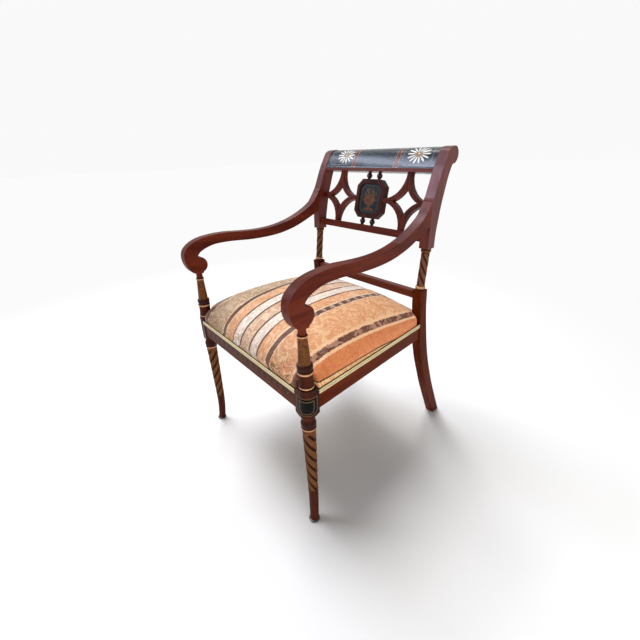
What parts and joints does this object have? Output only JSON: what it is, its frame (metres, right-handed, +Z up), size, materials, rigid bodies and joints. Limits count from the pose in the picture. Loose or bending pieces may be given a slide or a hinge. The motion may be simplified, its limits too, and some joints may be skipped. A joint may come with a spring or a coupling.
{
  "type": "open armchair",
  "caption": "Open armchair with scrolled arms, rolled crest rail, lattice back with octagonal tablet, twist-turned front legs, sabre rear legs and domed upholstered seat.",
  "frame": {"origin": "on the floor, under the middle of the chair's bounding box", "axes": "+Z up, -Y is the way the sitter faces, +X is the right-hand side as seen from the front"},
  "size_m": [0.551, 0.6444, 0.861],
  "materials": {
    "mahogany": "red-brown polished wood, satin gloss",
    "ebonised": "blue-black painted wood, satin",
    "gilt_twist": "twist-carved wood rubbed with bronze-gold paint, dark in the grooves",
    "frame_wood": "plain unpolished hardwood inside the seat frame",
    "damask": "striped woven fabric in peach, cream, gold and brown",
    "stuffing": "linen-covered stuffing",
    "webbing": "woven jute straps",
    "gimp": "cream-gold double cord",
    "steel": "dark metal"
  },
  "bodies": {
    "root": {"stile_right": "mahogany", "stile_left": "mahogany", "arm_right": "mahogany", "arm_left": "mahogany", "arm_support_right": "mahogany", "arm_support_left": "mahogany", "front_leg_right": "gilt_twist", "front_leg_left": "gilt_twist", "front_glide_right": "steel", "front_glide_left": "steel", "rear_leg_right": "mahogany", "rear_leg_left": "mahogany", "rear_post_right": "gilt_twist", "rear_post_left": "gilt_twist", "crest_rail": "ebonised", "lattice_rail": "mahogany", "lath_upper_outer_right": "mahogany", "lath_upper_outer_left": "mahogany", "lath_upper_inner_right": "mahogany", "lath_upper_inner_left": "mahogany", "lath_lower_outer_right": "mahogany", "lath_lower_outer_left": "mahogany", "lath_lower_inner_right": "mahogany", "lath_lower_inner_left": "mahogany", "tablet_frame": "mahogany", "tablet_panel": "ebonised", "ball_upper_right": "ebonised", "ball_upper_left": "ebonised", "ball_lower_right": "ebonised", "ball_lower_left": "ebonised", "lower_back_rail": "mahogany", "front_corner_block_right": "frame_wood", "front_corner_block_left": "frame_wood", "rear_corner_block_right": "frame_wood", "rear_corner_block_left": "frame_wood", "front_corner_screw_a_right": "steel", "front_corner_screw_a_left": "steel", "front_corner_screw_b_right": "steel", "front_corner_screw_b_left": "steel", "rear_corner_screw_a_right": "steel", "rear_corner_screw_a_left": "steel", "rear_corner_screw_b_right": "steel", "rear_corner_screw_b_left": "steel", "front_rail": "mahogany", "rear_rail": "frame_wood", "side_rail_right": "mahogany", "side_rail_left": "mahogany", "seat_webbing": "webbing", "seat_cover": "damask", "seat_pad": "stuffing", "gimp_front": "gimp", "gimp_rear": "gimp", "gimp_side_right": "gimp", "gimp_side_left": "gimp"}
  },
  "joints": []
}
